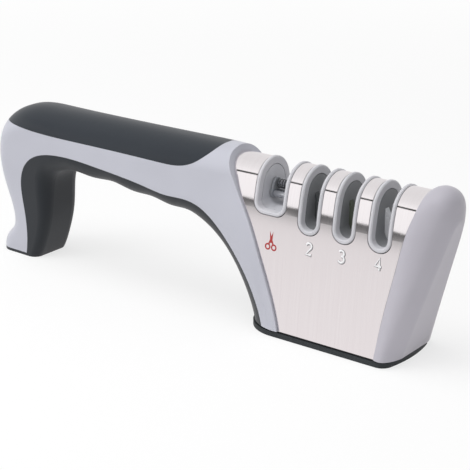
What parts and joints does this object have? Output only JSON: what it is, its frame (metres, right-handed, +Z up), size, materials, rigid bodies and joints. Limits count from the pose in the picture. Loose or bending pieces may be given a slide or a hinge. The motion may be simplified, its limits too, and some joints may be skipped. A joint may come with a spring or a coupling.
{
  "type": "knife sharpener",
  "caption": "Pull-through knife and scissors sharpener: arched two-tone handle, steel-clad head with a row of rimmed slots, leaning abrasive bars and a sprung rod.",
  "frame": {"origin": "on the table, under the middle of the head, on the pad's flat underside", "axes": "+X from the handle to the end cap, +Y to the back (the slots run along Y), +Z up"},
  "size_m": [0.222, 0.0342, 0.0674],
  "materials": {
    "grey_shell": "satin moulded plastic",
    "light_rim": "smooth moulded plastic",
    "dark_grip": "soft-touch, fine matt grain",
    "brushed_cover": "brushed upwards",
    "dark_block": "matt",
    "inner_plastic": "matt",
    "base_rubber": "matt",
    "zinc_screw": "zinc plated",
    "coarse_grit": "coarse grit",
    "medium_grit": "medium grit",
    "fine_grit": "fine ceramic",
    "bright_steel": "ground",
    "spring_wire": "oiled spring wire"
  },
  "bodies": {
    "sharpener": {"body_shell": "grey_shell", "end_cap": "grey_shell", "top_grip": "dark_grip", "under_grip": "dark_grip", "head_core": "inner_plastic", "steel_cover": "brushed_cover", "base_plate": "dark_block", "base_pad": "base_rubber", "base_screws": "zinc_screw", "scissors_bezel": "light_rim", "coarse_bezel": "light_rim", "medium_bezel": "light_rim", "fine_bezel": "light_rim", "scissors_carrier": "light_rim", "coarse_carrier": "dark_block", "medium_carrier": "dark_block", "fine_carrier": "dark_block", "coarse_plate_front": "coarse_grit", "coarse_plate_rear": "coarse_grit", "medium_plate_front": "medium_grit", "medium_plate_rear": "medium_grit", "fine_plate_front": "fine_grit", "fine_plate_rear": "fine_grit", "stage_frame": "inner_plastic", "pivot_pin": "bright_steel", "rocker_spring": "spring_wire"},
    "rocker": {"rocker_frame": "inner_plastic", "scissors_rod": "bright_steel"}
  },
  "joints": [
    {"name": "rocker_swing", "type": "hinge", "parent": "sharpener", "child": "rocker", "pos_m": [-0.0219, 0.0003, 0.055], "axis": [1, 0, 0], "range_deg": [0, 18], "stiffness_Nm_per_rad": 0.004, "springref_deg": -2.86}
  ]
}
